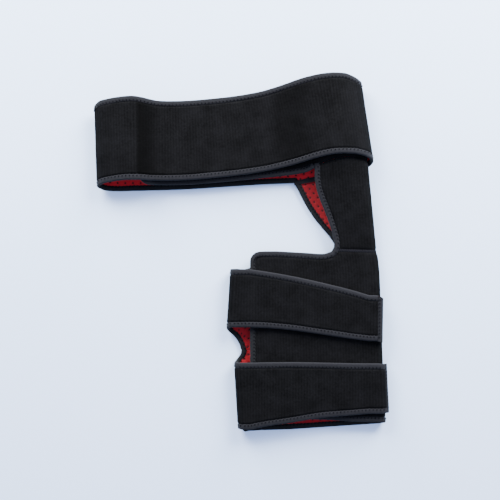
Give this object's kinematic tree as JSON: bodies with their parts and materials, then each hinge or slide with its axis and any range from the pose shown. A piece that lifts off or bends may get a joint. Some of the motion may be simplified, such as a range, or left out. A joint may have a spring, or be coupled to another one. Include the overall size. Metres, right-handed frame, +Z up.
{
  "type": "hip and thigh compression wrap",
  "caption": "Padded waist belt closed on itself, joined by a hip panel to a thigh sleeve with wrap-round straps, lying flat; black outside, red lining, grey edge tape.",
  "frame": {"origin": "under the middle of the whole, on the surface it lies on", "axes": "+Y towards the waist belt, +X towards the folded side, +Z up off the surface"},
  "size_m": [0.4346, 0.5248, 0.0361],
  "materials": {
    "black_shell": "matt looped pile",
    "red_lining": "matt perforated knit",
    "grey_binding": "matt woven tape",
    "hook_tape": "moulded hooks on woven tape",
    "seam_tape": "matt woven tape"
  },
  "bodies": {
    "root": {"waist_belt": "black_shell", "waist_belt_lining": "red_lining", "belt_upper_binding": "grey_binding", "belt_inner_lower_binding": "grey_binding", "belt_lower_binding": "grey_binding", "belt_inner_end_binding": "grey_binding", "belt_tail_end_binding": "grey_binding", "belt_hook_tape": "hook_tape", "thigh_panel": "black_shell", "thigh_panel_lining": "red_lining", "thigh_bottom_binding": "grey_binding", "hip_panel": "black_shell", "hip_panel_lining": "red_lining", "front_edge_binding": "grey_binding", "back_edge_binding": "grey_binding", "waist_seam_tape": "seam_tape", "notch_binding": "grey_binding", "upper_strap": "black_shell", "upper_strap_lining": "red_lining", "upper_strap_end_binding": "grey_binding", "upper_strap_hook_tape": "hook_tape", "upper_strap_top_binding": "grey_binding", "lower_strap": "black_shell", "lower_strap_lining": "red_lining", "lower_strap_end_binding": "grey_binding", "lower_strap_hook_tape": "hook_tape", "lower_strap_bottom_binding": "grey_binding"}
  },
  "joints": []
}
